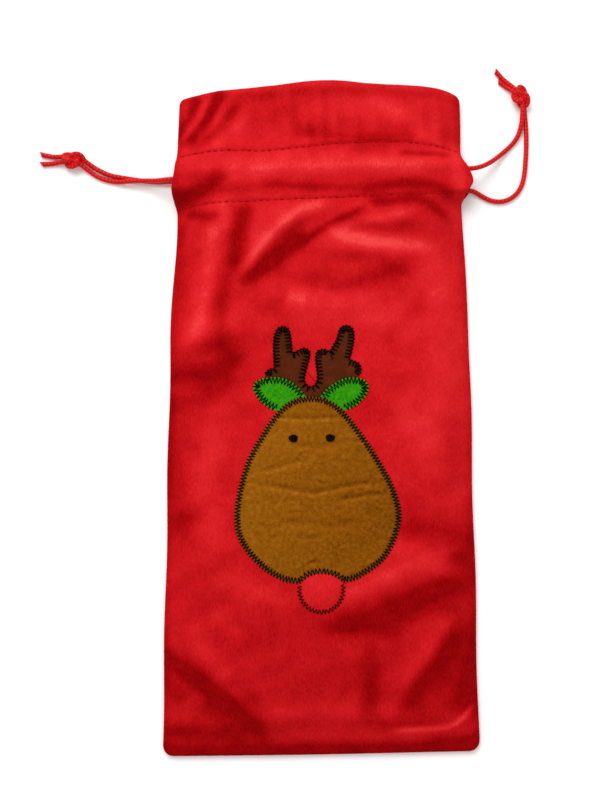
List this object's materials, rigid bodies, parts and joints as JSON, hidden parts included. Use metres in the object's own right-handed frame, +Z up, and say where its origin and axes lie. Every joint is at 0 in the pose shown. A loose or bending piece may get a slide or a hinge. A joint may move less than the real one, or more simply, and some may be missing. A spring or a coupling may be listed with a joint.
{
  "type": "wine gift bag",
  "caption": "Flat velvet drawstring bag for a bottle, with an appliqué reindeer on its front and a satin drawcord knotted at each side of the mouth casing.",
  "frame": {"origin": "on the table under the middle of the bag, measured without the cords", "axes": "+X to the bag's right as its front is seen, +Y from the sewn bottom to the mouth, +Z up out of the front panel"},
  "size_m": [0.2609, 0.3594, 0.0148],
  "materials": {
    "red_velvet": "matte",
    "red_facing": "matte",
    "red_satin_cord": "satin",
    "red_thread": "satin",
    "black_thread": "satin",
    "brown_velvet": "matte",
    "dark_brown_velvet": "matte",
    "green_felt": "matte"
  },
  "bodies": {
    "bag": {"front_panel": "red_velvet", "back_panel": "red_velvet", "front_facing": "red_facing", "back_facing": "red_facing", "left_seam_thread": "red_thread", "right_seam_thread": "red_thread", "bottom_seam_thread": "red_thread", "front_upper_casing_stitches": "red_thread", "front_lower_casing_stitches": "red_thread", "back_upper_casing_stitches": "red_thread", "back_lower_casing_stitches": "red_thread", "head_patch": "brown_velvet", "antler_patch": "dark_brown_velvet", "left_ear_patch": "green_felt", "right_ear_patch": "green_felt", "nose_patch": "red_velvet", "left_eye": "black_thread", "right_eye": "black_thread", "head_zigzag": "black_thread", "antler_zigzag": "black_thread", "left_ear_zigzag": "black_thread", "right_ear_zigzag": "black_thread", "nose_zigzag": "black_thread"},
    "left_cord": {"left_drawcord": "red_satin_cord", "left_knot": "red_satin_cord"},
    "right_cord": {"right_drawcord": "red_satin_cord", "right_knot": "red_satin_cord"}
  },
  "joints": [
    {"name": "left_cord_pull", "type": "slide", "parent": "bag", "child": "left_cord", "axis": [-1, 0, 0], "range_m": [0, 0.045], "deforming": ["front_facing", "back_facing"]},
    {"name": "right_cord_pull", "type": "slide", "parent": "bag", "child": "right_cord", "axis": [1, 0, 0], "range_m": [0, 0.045], "deforming": ["front_facing", "back_facing"]}
  ]
}
